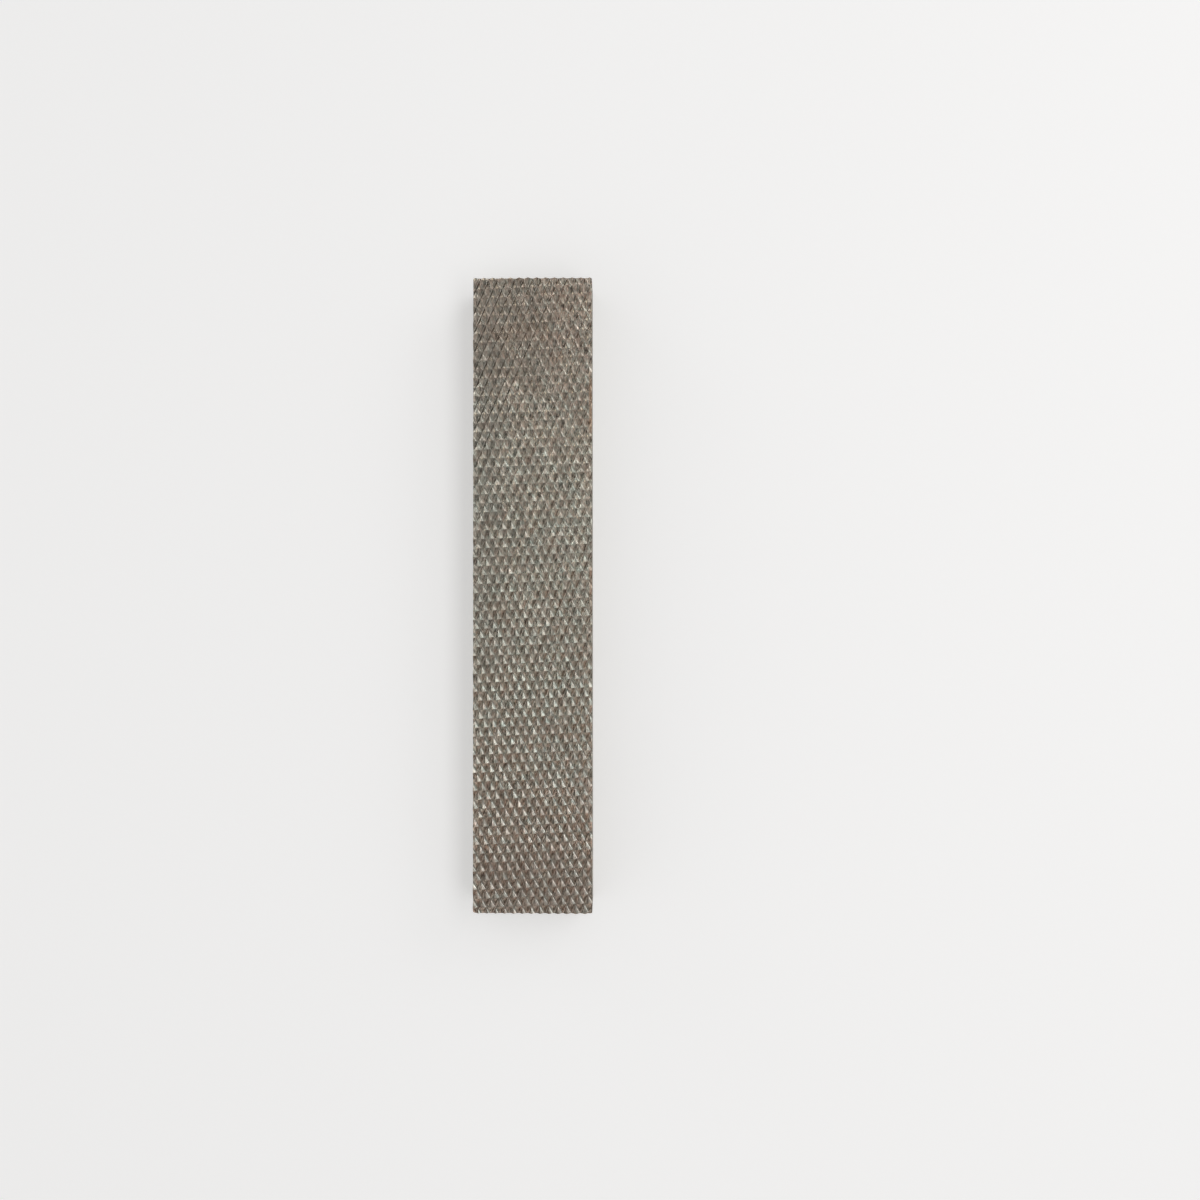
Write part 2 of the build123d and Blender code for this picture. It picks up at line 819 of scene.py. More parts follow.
class Effect(Sheet):
    """A shader node group with named inputs and outputs."""

    def __init__(self, name: str, inputs: tuple[Port, ...], outputs: tuple[Port, ...]) -> None:
        """Makes the empty group.

        Args:
            name: The group's name.
            inputs: What it takes in.
            outputs: What it puts out.
        """
        super().__init__(bpy.data.node_groups.new(name, "ShaderNodeTree"))
        for way, ports in (("INPUT", inputs), ("OUTPUT", outputs)):
            for port in ports:
                socket = self.tree.interface.new_socket(name=port.name, in_out=way, socket_type=port.kind)
                socket.default_value = port.value
        self.given = self.add("NodeGroupInput").outputs
        self.result = self.add("NodeGroupOutput").inputs

    def put_out(self, name: str, value: Socket) -> None:
        """Links a result to one of the group's outputs."""
        self.tree.links.new(value, self.result[name])


def grain_effect() -> bpy.types.NodeTree:
    """Makes the fine grain of steel, which can be drawn out along the bar, with its bright specks.

    Returns:
        The group. Its size is in millimetres.
    """
    finer = 1.1
    speck = Ramp(0.59, 0.68)
    effect = Effect(
        "steel_grain",
        (Port("Size", 0.4), Port("Stretch", 1.0)),
        (Port("Height"), Port("Speck")),
    )
    place = effect.millimetres()
    shrink = effect.per(1.0, effect.given["Stretch"])
    squeeze = effect.add("ShaderNodeCombineXYZ", {0: 1.0, 1: shrink, 2: 1.0}).outputs[0]
    drawn = effect.add("ShaderNodeVectorMath", {0: place, 1: squeeze}, operation="MULTIPLY").outputs[0]
    scale = effect.per(1.0, effect.given["Size"])
    specks = effect.noise(place, effect.times(scale, finer), detail=3.0, roughness=0.7)
    effect.put_out("Height", effect.noise(drawn, scale, detail=3.0, roughness=0.6))
    effect.put_out("Speck", effect.ramp(specks, speck))
    return effect.tree


def patina_effect() -> bpy.types.NodeTree:
    """Makes the cloudy film of rust and oil on steel.

    Returns:
        The group. Its size is in millimetres.
    """
    cover = Ramp(0.40, 0.66)
    effect = Effect(
        "patina",
        (Port("Steel", GREY, COLOUR), Port("Film", GREY, COLOUR), Port("Amount", 0.5), Port("Size", 3.0)),
        (Port("Color", GREY, COLOUR), Port("Mask")),
    )
    scale = effect.per(1.0, effect.given["Size"])
    cloud = effect.noise(effect.millimetres(), scale, detail=4.0, roughness=0.65, distortion=0.4)
    mask = effect.times(effect.ramp(cloud, cover), effect.given["Amount"])
    effect.put_out("Color", effect.blend(mask, effect.given["Steel"], effect.given["Film"]))
    effect.put_out("Mask", mask)
    return effect.tree


def worn_edge_effect() -> bpy.types.NodeTree:
    """Makes the bright, broken line where an edge is rubbed bare.

    Returns:
        The group. Its radius is in metres.
    """
    bend = Ramp(0.93, 0.998, 1.0, 0.0)
    gap = Ramp(0.35, 0.6, 0.25, 1.0)
    gap_scale = 1.1
    effect = Effect("worn_edge", (Port("Radius", 0.2 * MM),), (Port("Mask"),))
    rounded = effect.add("ShaderNodeBevel", {"Radius": effect.given["Radius"]}, samples=4).outputs[0]
    normal = effect.add("ShaderNodeNewGeometry").outputs["Normal"]
    likeness = effect.add("ShaderNodeVectorMath", {0: rounded, 1: normal}, operation="DOT_PRODUCT")
    edge = effect.ramp(likeness.outputs["Value"], bend)
    gaps = effect.noise(effect.millimetres(), gap_scale, detail=3.0)
    effect.put_out("Mask", effect.times(edge, effect.ramp(gaps, gap)))
    return effect.tree


class Effects:
    """The effects, each built once."""

    def __init__(self) -> None:
        """Builds the effects."""
        self.grain = grain_effect()
        self.patina = patina_effect()
        self.worn_edge = worn_edge_effect()


# Finishes


def new_material(name: str) -> tuple[bpy.types.Material, Sheet, bpy.types.Node]:
    """Makes a material of metal.

    Args:
        name: The material's name.

    Returns:
        The material, its node sheet and its shader.
    """
    material = bpy.data.materials.new(name)
    material.use_nodes = True
    shader = material.node_tree.nodes["Principled BSDF"]
    shader.inputs["Metallic"].default_value = 1.0
    return material, Sheet(material.node_tree), shader


@dataclass(frozen=True)
class Grain:
    """A grain of steel, with its size in millimetres and how many times longer it is along the bar."""

    size: float
    stretch: float = 1.0

    def lay(self, sheet: Sheet, effects: Effects) -> dict:
        """Places the grain on a sheet, and gives the sockets of its height and specks."""
        return sheet.place(effects.grain, {"Size": self.size, "Stretch": self.stretch})


@dataclass(frozen=True)
class Hue:
    """Clouds of greener and redder steel, given as grains and the share that each of them counts for."""

    greenish: tuple
    reddish: tuple
    split: Ramp
    clouds: tuple[tuple[Grain, float], ...]

    def tinge(self, sheet: Sheet, effects: Effects) -> object:
        """Works out how green or red the steel is.

        Args:
            sheet: The material's sheet.
            effects: The shared effects.

        Returns:
            The tinge, near white.
        """
        colour = WHITE
        for grain, share in self.clouds:
            side = sheet.ramp(grain.lay(sheet, effects)["Height"], self.split)
            colour = sheet.tint(colour, sheet.blend(side, self.greenish, self.reddish), share)
        return colour


@dataclass(frozen=True)
class Film:
    """A cloudy film on steel, with its colour, how much it covers, and its clouds' size in millimetres."""

    colour: tuple
    amount: float
    size: float

    def lay(self, sheet: Sheet, effects: Effects, steel: tuple) -> dict:
        """Lays the film on steel.

        Args:
            sheet: The material's sheet.
            effects: The shared effects.
            steel: The colour of the steel.

        Returns:
            The sockets of the mixed colour and of the film's mask.
        """
        values = {"Steel": steel, "Film": self.colour, "Amount": self.amount, "Size": self.size}
        return sheet.place(effects.patina, values)


@dataclass(frozen=True)
class BareEdge:
    """The bright steel along a rubbed edge."""

    radius: float
    colour: tuple
    share: float = 0.85

    def lay(self, sheet: Sheet, effects: Effects, below: object) -> Socket:
        """Lays the bright edge over a colour.

        Args:
            sheet: The material's sheet.
            effects: The shared effects.
            below: The colour below.

        Returns:
            The colour with its bright edges.
        """
        mask = sheet.place(effects.worn_edge, {"Radius": self.radius})["Mask"]
        return sheet.blend(sheet.times(mask, self.share), below, self.colour)


@dataclass(frozen=True)
class GroundSteel:
    """The dull, fine-grained steel of the back, the sides and the ends, with the grinder's long lines."""

    effects: Effects
    steel: tuple = (0.262, 0.256, 0.204, 1.0)
    film: Film = Film((0.205, 0.180, 0.140, 1.0), amount=0.6, size=26.0)
    edge: BareEdge = BareEdge(0.28 * MM, (0.66, 0.64, 0.58, 1.0))
    hue: Hue = Hue((0.96, 1.0, 0.98, 1.0), (1.06, 0.97, 0.96, 1.0), Ramp(0.36, 0.64), ((Grain(2.2), 1.0),))
    grain: Grain = Grain(0.34, stretch=1.6)
    grain_shade: Ramp = Ramp(0.25, 0.75, 0.66, 1.34)
    lines: Grain = Grain(0.40, stretch=90.0)
    dark_lines: Ramp = Ramp(0.30, 0.38, 0.72, 1.0)
    pale_lines: Ramp = Ramp(0.62, 0.70, 1.0, 1.35)
    flecks: Grain = Grain(0.85, stretch=1.4)
    rust: tuple = (0.27, 0.16, 0.125, 1.0)
    rust_share: Ramp = Ramp(0.40, 0.28, 0.0, 0.45)
    speck: tuple = (0.60, 0.60, 0.50, 1.0)
    broad_speck_share: float = 0.70
    fine_speck_share: float = 0.45
    roughness: Ramp = Ramp(0.3, 0.7, 0.34, 0.50)
    relief: float = 0.012 * MM

    def material(self) -> bpy.types.Material:
        """Makes the material.

        Returns:
            The finished material.
        """
        material, sheet, shader = new_material("ground_steel")
        layers = (self.grain, self.flecks, self.lines)
        grain, flecks, lines = [layer.lay(sheet, self.effects) for layer in layers]
        film = self.film.lay(sheet, self.effects, self.steel)
        colour = sheet.tint(film["Color"], self.hue.tinge(sheet, self.effects))
        colour = sheet.brighten(colour, sheet.ramp(grain["Height"], self.grain_shade))
        for shade in (self.dark_lines, self.pale_lines):
            colour = sheet.brighten(colour, sheet.ramp(lines["Height"], shade))
        colour = sheet.blend(sheet.ramp(flecks["Height"], self.rust_share), colour, self.rust)
        for part, share in ((flecks, self.broad_speck_share), (grain, self.fine_speck_share)):
            colour = sheet.blend(sheet.times(part["Speck"], share), colour, self.speck)
        colour = self.edge.lay(sheet, self.effects, colour)
        rough = sheet.ramp(grain["Height"], self.roughness)
        sheet.finish(shader, colour, rough, grain["Height"], self.relief)
        return material


@dataclass(frozen=True)
class TappedSteel:
    """The brown, oily steel inside the tapped holes, with painted shade that makes it nearly black where a
    hole is deep.
    """

    effects: Effects
    steel: tuple = (0.340, 0.322, 0.268, 1.0)
    film: Film = Film((0.185, 0.112, 0.078, 1.0), amount=0.85, size=5.0)
    edge: BareEdge = BareEdge(0.30 * MM, (0.70, 0.68, 0.62, 1.0))
    grain: Grain = Grain(0.25)
    grain_shade: Ramp = Ramp(0.3, 0.7, 0.75, 1.2)
    painted_hole_shade: Ramp = Ramp(2.0, 7.5, 1.0, 0.03)
    roughness: Ramp = Ramp(0.0, 0.9, 0.33, 0.48)
    relief: float = 0.008 * MM

    def material(self) -> bpy.types.Material:
        """Makes the material.

        Returns:
            The finished material.
        """
        material, sheet, shader = new_material("tapped_steel")
        grain = self.grain.lay(sheet, self.effects)
        film = self.film.lay(sheet, self.effects, self.steel)
        colour = sheet.brighten(film["Color"], sheet.ramp(grain["Height"], self.grain_shade))
        colour = self.edge.lay(sheet, self.effects, colour)
        # Painted shade, darker the deeper a point lies in the hole.
        depth = sheet.add("ShaderNodeSeparateXYZ", {0: sheet.millimetres()}).outputs[2]
        colour = sheet.brighten(colour, sheet.ramp(depth, self.painted_hole_shade))
        rough = sheet.ramp(film["Mask"], self.roughness)
        sheet.finish(shader, colour, rough, grain["Height"], self.relief)
        return material


@dataclass(frozen=True)
class Spot:
    """Where a shaded point lies on the bar and on its tooth, as sockets.

    The place is in metres. First is 1 where the first set's flanks lie, and 0 on the second set's. Each
    set has the number of the nearest crest line, how far from it the point lies, up to 0.5, and its side,
    1 on the right of the line and 0 on the left.
    """

    place: Socket
    aside: Socket
    along: Socket
    first: Socket
    rows: list[Socket]
    steeps: list[Socket]
    sides: list[Socket]


@dataclass(frozen=True)
class Patch:
    """A stretch of rust, painted shade, or a pale spot on the teeth.

    Its middle and how far it reaches from there are in millimetres. It is whole up to its core, a share of
    that reach, and clouds thin it from its share to its least share.
    """

    y: float
    y_reach: float
    x: float
    x_reach: float
    colour: tuple
    share: float
    least_share: float = 0.2
    cloud_low: float = 0.35
    cloud_high: float = 0.6
    core: float = 0.4

    def lay(self, sheet: Sheet, spot: Spot, cloud: object, below: object) -> Socket:
        """Lays the patch over a colour.

        Args:
            sheet: The material's sheet.
            spot: The point.
            cloud: A cloudy value that breaks the patch's outline.
            below: The colour below.

        Returns:
            The colour with the patch.
        """
        share = sheet.ramp(cloud, Ramp(self.cloud_low, self.cloud_high, self.least_share, self.share))
        for value, middle, reach in ((spot.along, self.y, self.y_reach), (spot.aside, self.x, self.x_reach)):
            away = sheet.size_of(sheet.minus(value, middle * MM))
            share = sheet.times(share, sheet.ramp(away, Ramp(self.core * reach * MM, reach * MM, 1.0, 0.0)))
        return sheet.blend(share, below, self.colour)


class Tone(Enum):
    """The hues of the painted light and shade on the teeth's flanks, from neutral highlights to rusty brown
    that is partly rust, as shares of red, green and blue.
    """

    BRIGHT = (0.98, 1.0, 1.0)
    CLEAN = (1.0, 0.96, 0.91)
    DULL = (1.0, 0.89, 0.81)
    RUSTY = (1.0, 0.79, 0.69)

    def at(self, strength: float) -> tuple[float, float, float]:
        """Gives the tone's colour at a strength: 1 leaves the steel as bright as it is, more paints light on
        it and less paints shade.
        """
        return tuple(part * strength for part in self.value)


@dataclass(frozen=True)
class FlankShadeAndStain:
    """The painted light and shade on one flank of every tooth by its crest, on its belly and by its root,
    with rusty tones that are partly rust stains.

    Each holds a colour at the foot, in the middle and at the head of the bar.
    """

    crest: tuple[tuple, tuple, tuple]
    belly: tuple[tuple, tuple, tuple]
    root: tuple[tuple, tuple, tuple]
    to_belly: Ramp = Ramp(0.14, 0.26)
    to_root: Ramp = Ramp(0.32, 0.42)

    def colour(self, sheet: Sheet, height: object, steep: object) -> Socket:
        """Works out the colour of the flank's painted light and shade at a point.

        Args:
            sheet: The material's sheet.
            height: How near the point is to the head of the bar, from 0 to 1.
            steep: How far the point lies from the flank's crest line, up to 0.5.

        Returns:
            The colour.
        """
        crest, belly, root = [sheet.bands(height, part) for part in (self.crest, self.belly, self.root)]
        upper = sheet.blend(sheet.ramp(steep, self.to_belly), crest, belly)
        return sheet.blend(sheet.ramp(steep, self.to_root), upper, root)


@dataclass(frozen=True)
class PaintedBeadShading:
    """The painted highlights on the crests and painted shadows in the roots of one kind of flank, which look
    like beads at the head's left.

    At the head's right they turn into painted shade on the crests and painted light on the roots.
    """

    along: Ramp = Ramp(0.02, 0.08)
    aside: Ramp = Ramp(-0.018, 0.018, 1.0, -0.8)
    lift: Ramp = Ramp(0.26, 0.44, 0.45, -0.50)

    def shade(self, sheet: Sheet, spot: Spot) -> Socket:
        """Works out the painted light and shade that the beads put on the flanks on the left of the second
        set.

        Args:
            sheet: The material's sheet.
            spot: The point.

        Returns:
            The brightness, about 1.
        """
        near = sheet.times(sheet.ramp(spot.along, self.along), sheet.ramp(spot.aside, self.aside))
        flank = sheet.times(sheet.minus(1.0, spot.first), sheet.minus(1.0, spot.sides[1]))
        lift = sheet.ramp(spot.steeps[1], self.lift)
        return sheet.plus(1.0, sheet.times(sheet.times(near, flank), lift))


@dataclass(frozen=True)
class CutterLines:
    """The lines that a cutter leaves along its grooves, which show more at the head of the bar.

    Their scale is in lines per metre across and along the groove, and upwards. On each of the two sets of
    flanks they darken and brighten the steel by a share.
    """

    scale: tuple[float, float, float]
    first_share: float
    second_share: float
    swing: Ramp = Ramp(0.32, 0.68, -1.0, 1.0)
    growth: Ramp = Ramp(0.02, 0.08, 1.0, 1.25)

    def draw(self, sheet: Sheet, spot: Spot, turns: tuple[float, float]) -> tuple[Socket, Socket]:
        """Draws the lines.

        Args:
            sheet: The material's sheet.
            spot: The point.
            turns: The turns of the two sets of grooves.

        Returns:
            The lines' height, and the brightness that they give, about 1.
        """
        drawn = []
        for turn in turns:
            values = {"Vector": spot.place, "Rotation": (0.0, 0.0, -turn), "Scale": self.scale}
            drawn.append(sheet.add("ShaderNodeMapping", values).outputs[0])
        sets = {"Factor": spot.first, 4: drawn[1], 5: drawn[0]}
        mixed = sheet.add("ShaderNodeMix", sets, data_type="VECTOR").outputs[1]
        height = sheet.noise(mixed, 1.0, detail=2.0)
        share = sheet.ramp(spot.first, Ramp(0.0, 1.0, self.second_share, self.first_share))
        reach = sheet.times(sheet.ramp(height, self.swing), share)
        reach = sheet.times(reach, sheet.ramp(spot.along, self.growth))
        return height, sheet.plus(1.0, reach)


@dataclass(frozen=True)
class RubbedTipsAndGlints:
    """The tips that use has rubbed smooth, with a painted glint on them, more of them towards the head of
    the bar.
    """

    tip: Ramp = Ramp(0.045, 0.12, 1.0, 0.0)
    along: Ramp = Ramp(-0.03, 0.08, 0.2, 0.85)
    chosen: Ramp = Ramp(0.50, 0.70)
    polish: float = 0.12

    def mask(self, sheet: Sheet, spot: Spot, lot: object) -> Socket:
        """Works out how far a point is rubbed and painted with a glint.

        Args:
            sheet: The material's sheet.
            spot: The point.
            lot: The tooth's own number, from 0 to 1.

        Returns:
            The share that is rubbed and glints, 0 away from the tips.
        """
        tip = sheet.ramp(sheet.maths("MAXIMUM", *spot.steeps), self.tip)
        tip = sheet.times(tip, sheet.ramp(spot.along, self.along))
        return sheet.times(tip, sheet.ramp(lot, self.chosen))


@dataclass(frozen=True)
class ToothedSteel:
    """The cut steel of the teeth, with painted light and shade and rust stains flank by flank, drawn with
    lines, rubbed at the tips with a painted glint there, and with broad patches of rust and painted shade.
    """

    effects: Effects
    crest: Vector
    turns: tuple[float, float]
    pitch: float
    length: float
    steel: tuple = (0.425, 0.428, 0.382, 1.0)
    film: Film = Film((0.300, 0.225, 0.175, 1.0), amount=0.25, size=6.0)
    hue: Hue = Hue(
        greenish=(0.955, 1.0, 1.004, 1.0),
        reddish=(1.045, 0.987, 0.978, 1.0),
        split=Ramp(0.34, 0.66),
        clouds=((Grain(5.0, 1.3), 0.4), (Grain(1.7, 1.3), 1.0), (Grain(0.9, 1.3), 1.0)),
    )
    middle: tuple = (0.975, 1.0, 1.02, 1.0)
    ends: tuple = (1.04, 0.985, 0.99, 1.0)
    to_ends: Ramp = Ramp(0.03, 0.095)
    # Painted light and shade: each flank's colour at crest, belly and root, at the foot, middle and head,
    # makes it as bright or dark as lamps would; the rusty tones are partly rust stains.
    up_right: FlankShadeAndStain = FlankShadeAndStain(
        crest=(Tone.DULL.at(1.2), Tone.CLEAN.at(0.95), Tone.DULL.at(0.6)),
        belly=(Tone.BRIGHT.at(1.6), Tone.CLEAN.at(1.05), Tone.CLEAN.at(1.1)),
        root=(Tone.BRIGHT.at(1.25), Tone.CLEAN.at(0.9), Tone.CLEAN.at(1.2)),
    )
    low_left: FlankShadeAndStain = FlankShadeAndStain(
        crest=(Tone.RUSTY.at(1.0), Tone.DULL.at(0.9), Tone.RUSTY.at(0.6)),
        belly=(Tone.DULL.at(1.1), Tone.DULL.at(1.2), Tone.DULL.at(0.95)),
        root=(Tone.DULL.at(0.8), Tone.DULL.at(1.65), Tone.DULL.at(1.85)),
    )
    low_right: FlankShadeAndStain = FlankShadeAndStain(
        crest=(Tone.RUSTY.at(0.85), Tone.DULL.at(1.05), Tone.DULL.at(1.1)),
        belly=(Tone.RUSTY.at(1.35), Tone.RUSTY.at(0.9), Tone.CLEAN.at(1.15)),
        root=(Tone.RUSTY.at(0.75), Tone.RUSTY.at(0.35), Tone.CLEAN.at(0.5)),
    )
    up_left: FlankShadeAndStain = FlankShadeAndStain(
        crest=(Tone.RUSTY.at(0.35), Tone.DULL.at(0.6), Tone.CLEAN.at(1.25)),
        belly=(Tone.DULL.at(0.75), Tone.CLEAN.at(1.4), Tone.CLEAN.at(1.5)),
        root=(Tone.DULL.at(1.3), Tone.DULL.at(1.9), Tone.RUSTY.at(0.75)),
    )
    flank_shade_and_stain_share: Ramp = Ramp(0.0, 1.0, 0.7, 1.0)
    tooth_shade: Ramp = Ramp(0.0, 1.0, 0.95, 1.06)
    beads: PaintedBeadShading = PaintedBeadShading()
    fine_lines: CutterLines = CutterLines((3300.0, 900.0, 900.0), first_share=0.38, second_share=0.56)
    broad_lines: CutterLines = CutterLines((1500.0, 450.0, 500.0), first_share=0.10, second_share=0.18)
    tips: RubbedTipsAndGlints = RubbedTipsAndGlints()
    glint: tuple = (1.0, 0.86, 0.64, 1.0)
    grain: Grain = Grain(0.30)
    speck_share: float = 0.35
    patches: tuple[Patch, ...] = (
        # The first three are painted shade, darker at the head's left, along the left side and at the foot;
        # then come a band of rust at the head, rust on the right edge and a pale spot.
        Patch(y=84.0, y_reach=24.0, x=-8.0, x_reach=20.0, colour=(0.20, 0.18, 0.15, 1.0), share=0.30),
        Patch(y=40.0, y_reach=90.0, x=-19.0, x_reach=11.0, colour=(0.26, 0.25, 0.22, 1.0), share=0.30),
        Patch(y=-98.0, y_reach=22.0, x=0.0, x_reach=40.0, colour=(0.26, 0.23, 0.20, 1.0), share=0.28),
        Patch(y=84.0, y_reach=3.5, x=-6.0, x_reach=13.0, colour=(0.38, 0.26, 0.19, 1.0), share=0.25),
        Patch(y=61.0, y_reach=13.0, x=18.9, x_reach=1.1, colour=(0.48, 0.27, 0.15, 1.0), share=0.6),
        Patch(y=3.0, y_reach=9.0, x=18.8, x_reach=0.9, colour=(0.46, 0.27, 0.17, 1.0), share=0.5),
        Patch(y=72.6, y_reach=1.3, x=18.3, x_reach=0.8, colour=(0.78, 0.76, 0.68, 1.0), share=0.8),
    )
    side_split: Ramp = Ramp(-0.05, 0.05)
    set_split: Ramp = Ramp(-0.04, 0.04)
    lot_seed: float = 3.0
    roughness: Ramp = Ramp(0.0, 0.3, 0.27, 0.35)
    fine_relief: float = 0.5
    relief: float = 0.018 * MM

    def across(self, sheet: Sheet, place: object, turn: float) -> tuple[Socket, Socket]:
        """Works out which crest line of one set of grooves is nearest, and how far from it a point lies.

        Args:
            sheet: The material's sheet.
            place: The point, in metres.
            turn: The set's turn.

        Returns:
            The crest line's number, and the distance in pitches, up to 0.5 and positive on its right.
        """
        way = Vector((math.cos(turn), math.sin(turn), 0.0)) / self.pitch
        line = sheet.add("ShaderNodeVectorMath", {0: place, 1: tuple(way)}, operation="DOT_PRODUCT")
        count = sheet.minus(line.outputs["Value"], self.crest.dot(way))
        number = sheet.maths("ROUND", count)
        return number, sheet.minus(count, number)

    def find_spot(self, sheet: Sheet) -> Spot:
        """Works out where a shaded point lies.

        Args:
            sheet: The material's sheet.

        Returns:
            The point.
        """
        place = sheet.object_place()
        aside, along = sheet.add("ShaderNodeSeparateXYZ", {0: place}).outputs[:2]
        rows, offsets = zip(*[self.across(sheet, place, turn) for turn in self.turns])
        steeps = [sheet.size_of(offset) for offset in offsets]
        sides = [sheet.ramp(offset, self.side_split) for offset in offsets]
        first = sheet.ramp(sheet.minus(*steeps), self.set_split)
        return Spot(place, aside, along, first, list(rows), steeps, sides)

    def bare_colour(self, sheet: Sheet, spot: Spot, film: object) -> Socket:
        """Works out the steel's colour without its stains, cooler in the middle and redder at the ends.

        Args:
            sheet: The material's sheet.
            spot: The point.
            film: The colour of the steel and its film.

        Returns:
            The colour.
        """
        end = sheet.ramp(sheet.size_of(spot.along), self.to_ends)
        colour = sheet.tint(self.hue.tinge(sheet, self.effects), sheet.blend(end, self.middle, self.ends))
        return sheet.tint(colour, film)

    def flank_shade_and_stain(self, sheet: Sheet, spot: Spot) -> Socket:
        """Works out the painted light and shade, with its rust stains, on the flank at a point.

        Args:
            sheet: The material's sheet.
            spot: The point.

        Returns:
            The colour of the painted light and shade.
        """
        height = sheet.plus(sheet.per(spot.along, self.length), 0.5)
        pairs = []
        flanks = ((self.low_left, self.up_right), (self.up_left, self.low_right))
        for side, steep, pair in zip(spot.sides, spot.steeps, flanks):
            pairs.append(sheet.blend(side, *[flank.colour(sheet, height, steep) for flank in pair]))
        return sheet.blend(spot.first, pairs[1], pairs[0])

    def material(self) -> bpy.types.Material:
        """Makes the material.

        Returns:
            The finished material.
        """
        material, sheet, shader = new_material("toothed_steel")
        spot = self.find_spot(sheet)
        tooth = sheet.add("ShaderNodeCombineXYZ", {0: spot.rows[0], 1: spot.rows[1], 2: self.lot_seed})
        lot = sheet.add("ShaderNodeTexWhiteNoise", {"Vector": tooth.outputs[0]}).outputs["Color"]
        lots = sheet.add("ShaderNodeSeparateColor", {0: lot}).outputs
        film = self.film.lay(sheet, self.effects, self.steel)
        grain = self.grain.lay(sheet, self.effects)
        fine, fine_shade = self.fine_lines.draw(sheet, spot, self.turns)
        broad, broad_shade = self.broad_lines.draw(sheet, spot, self.turns)
        rubbed = self.tips.mask(sheet, spot, lots[2])

        colour = self.bare_colour(sheet, spot, film["Color"])
        # Paints each flank's light and shade, with its rust stains, at a share that differs from tooth to
        # tooth.
        colour = sheet.tint(colour, self.flank_shade_and_stain(sheet, spot), sheet.ramp(lots[0], self.flank_shade_and_stain_share))
        # Painted highlights and shadows on the up-left flanks at the head.
        beads = self.beads.shade(sheet, spot)
        own_shade = sheet.ramp(lots[1], self.tooth_shade)
        for shade in (beads, own_shade, fine_shade, broad_shade):
            colour = sheet.brighten(colour, shade)
        # Painted glints on the grain's specks.
        colour = sheet.blend(sheet.times(grain["Speck"], self.speck_share), colour, self.glint)
        # Painted glint on the rubbed tips, which are also made smoother below.
        colour = sheet.blend(rubbed, colour, self.glint)
        # Lays the rust, the pale spot and the painted shade of the broad patches.
        for patch in self.patches:
            colour = patch.lay(sheet, spot, grain["Height"], colour)

        rough = sheet.ramp(film["Mask"], self.roughness)
        rough = sheet.minus(rough, sheet.times(rubbed, self.tips.polish))
        relief = sheet.plus(sheet.times(sheet.plus(fine, grain["Height"]), self.fine_relief), broad)
        sheet.finish(shader, colour, rough, relief, self.relief)
        return material


# The studio


@dataclass(frozen=True)
class SoftLamp:
    """An oblong area lamp that faces the insert, with its angles in degrees."""

    name: str
    azimuth: float
    elevation: float
    distance: float
    width: float
    height: float
    radiance: float

    def hang(self) -> None:
        """Puts the lamp in the scene."""
        data = bpy.data.lights.new(self.name, "AREA")
        data.shape = "RECTANGLE"
        data.size = self.width
        data.size_y = self.height
        data.energy = self.radiance * math.pi * self.width * self.height
        azimuth, elevation = math.radians(self.azimuth), math.radians(self.elevation)
        flat = math.cos(elevation)
        way = Vector((math.cos(azimuth) * flat, math.sin(azimuth) * flat, math.sin(elevation)))
        lamp = bpy.data.objects.new(self.name, data)
        lamp.location = way * self.distance
        lamp.rotation_euler = way.to_track_quat("Z", "Y").to_euler()
        lamp.visible_camera = False
        bpy.context.scene.collection.objects.link(lamp)


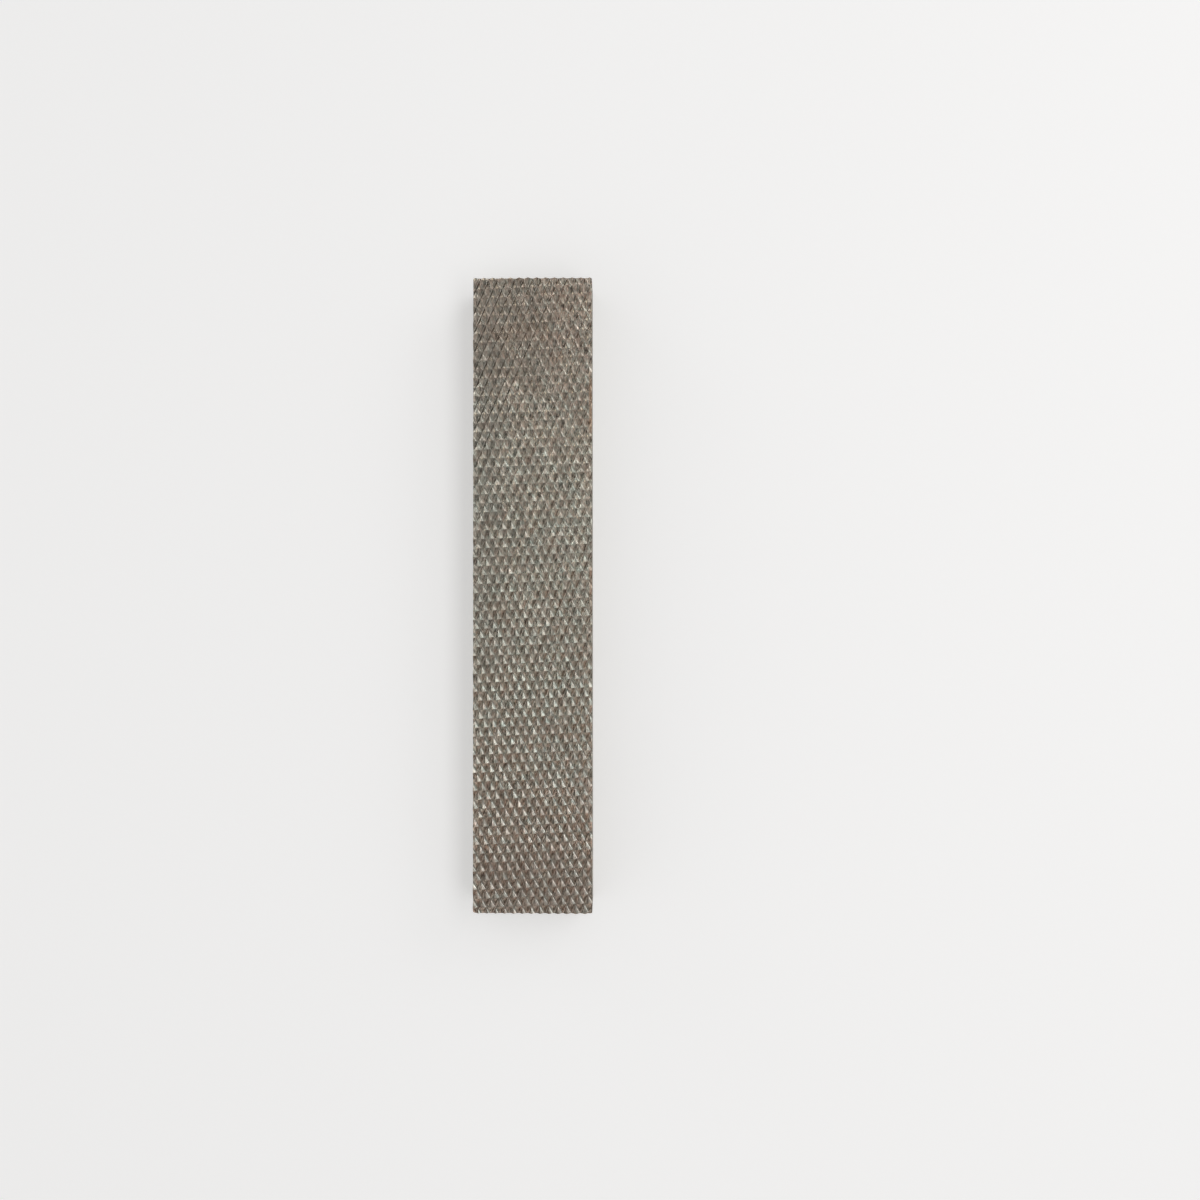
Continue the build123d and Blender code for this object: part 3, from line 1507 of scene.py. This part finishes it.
@dataclass(frozen=True)
class Studio:
    """The pale floor, the soft light and the camera, with its turn in degrees and lens in millimetres."""

    floor_colour: tuple = (0.86, 0.855, 0.85, 1.0)
    floor_glow: float = 0.42
    floor_size: float = 6.0
    floor_roughness: float = 0.9
    floor_sheen: float = 0.1
    horizon: tuple = (0.80, 0.795, 0.79, 1.0)
    sky: tuple = (0.36, 0.36, 0.36, 1.0)
    sky_rise: Ramp = Ramp(0.03, 0.22)
    # Each lamp's name, azimuth, elevation, distance, width, height and radiance
    lamps: tuple[SoftLamp, ...] = (
        SoftLamp("right_softbox", 36.0, 25.0, 1.0, 0.65, 0.353, 1.27),
        SoftLamp("high_softbox", 0.0, 62.0, 1.0, 1.25, 0.353, 1.55),
        SoftLamp("left_softbox", 205.0, 20.0, 1.0, 1.155, 0.536, 0.42),
        SoftLamp("upper_softbox", 140.0, 12.0, 0.85, 0.34, 0.15, 2.0),
    )
    camera_place: tuple = (25.17 * MM, -4.62 * MM, 325.5 * MM)
    camera_turn: tuple = (0.540, 0.666, -0.038)
    lens: float = 29.144
    sensor_width: float = 36.0
    clip_start: float = 0.01

    def set_up(self) -> None:
        """Makes the floor, the world, the lamps and the camera."""
        self.lay_floor()
        self.light_world()
        for lamp in self.lamps:
            lamp.hang()
        self.place_camera()
        bpy.context.scene.view_settings.view_transform = "Standard"

    def lay_floor(self) -> None:
        """Makes the floor, which shows to the camera, and only from above.

        The bar's back lies in the floor's plane, so in the metal the pale lower half of the world stands
        in for the floor.
        """
        bpy.ops.mesh.primitive_plane_add(size=self.floor_size, location=(0.0, 0.0, 0.0))
        floor = bpy.context.object
        floor.name = "studio_floor"
        floor.data.name = floor.name
        material = bpy.data.materials.new("pale_floor")
        material.use_nodes = True
        sheet = Sheet(material.node_tree)
        shader = material.node_tree.nodes["Principled BSDF"]
        shader.inputs["Base Color"].default_value = self.floor_colour
        shader.inputs["Roughness"].default_value = self.floor_roughness
        shader.inputs["Specular IOR Level"].default_value = self.floor_sheen
        shader.inputs["Emission Color"].default_value = self.floor_colour
        shader.inputs["Emission Strength"].default_value = self.floor_glow
        clear = sheet.add("ShaderNodeBsdfTransparent").outputs[0]
        front = sheet.minus(1.0, sheet.add("ShaderNodeNewGeometry").outputs["Backfacing"])
        seen = sheet.times(front, sheet.add("ShaderNodeLightPath").outputs["Is Camera Ray"])
        mix = sheet.add("ShaderNodeMixShader", {0: seen, 1: clear, 2: shader.outputs[0]})
        sheet.tree.links.new(mix.outputs[0], material.node_tree.nodes["Material Output"].inputs[0])
        floor.data.materials.append(material)

    def light_world(self) -> None:
        """Makes the world, pale below and at the horizon and grey above."""
        world = bpy.data.worlds.new("studio_world")
        bpy.context.scene.world = world
        world.use_nodes = True
        sheet = Sheet(world.node_tree)
        way = sheet.add("ShaderNodeTexCoord").outputs["Generated"]
        rise = sheet.add("ShaderNodeSeparateXYZ", {0: way}).outputs[2]
        light = sheet.blend(sheet.ramp(rise, self.sky_rise), self.horizon, self.sky)
        sheet.tree.links.new(light, world.node_tree.nodes["Background"].inputs[0])

    def place_camera(self) -> None:
        """Puts the camera where the photograph was taken from."""
        data = bpy.data.cameras.new("photo_camera")
        data.lens = self.lens
        data.sensor_width = self.sensor_width
        data.clip_start = self.clip_start
        camera = bpy.data.objects.new("photo_camera", data)
        camera.location = self.camera_place
        camera.rotation_euler = tuple(math.radians(turn) for turn in self.camera_turn)
        bpy.context.scene.collection.objects.link(camera)
        bpy.context.scene.camera = camera


def main() -> None:
    """Builds the insert, dresses it and sets it in the studio."""
    logging.basicConfig(level=logging.INFO, format="%(name)s: %(message)s")
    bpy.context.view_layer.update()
    low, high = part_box(NODE)
    bar = Blank(low, high).build()
    report(bar, "blank")
    holes = [mount for mount in frame["record"]["mounts"] if mount["kind"] == "threaded_hole"]
    axes = [Vector(hole["pos_m"]) for hole in holes]
    first_set = Serration(turn=math.radians(28.6), root_radius=0.70 * MM, root_steps=5)
    second_set = Serration(turn=math.radians(-24.0), root_radius=0.35 * MM, root_steps=4)
    for serration in (first_set, second_set):
        cut_away(bar, serration.build_cutter(low, high, axes[0]))
        report(bar, "grooves")
    for hole, axis in zip(holes, axes):
        TappedHole(Vector((axis.x, axis.y, low.z)), hole["dims"]["r_mm"] * MM).cut(bar)
        report(bar, "tapped hole")
    Wear(low, high).apply(bar)
    effects = Effects()
    turns = (first_set.turn, second_set.turn)
    finishes = {
        Area.TOOTHED: ToothedSteel(effects, axes[0], turns, first_set.pitch, high.y - low.y),
        Area.GROUND: GroundSteel(effects),
        Area.TAPPED: TappedSteel(effects),
    }
    dress(bar, finishes, axes)
    report(bar, "worn and dressed")
    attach(bar, BODY)
    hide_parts(NODE)
    Studio().set_up()


if __name__ == "__main__":
    main()
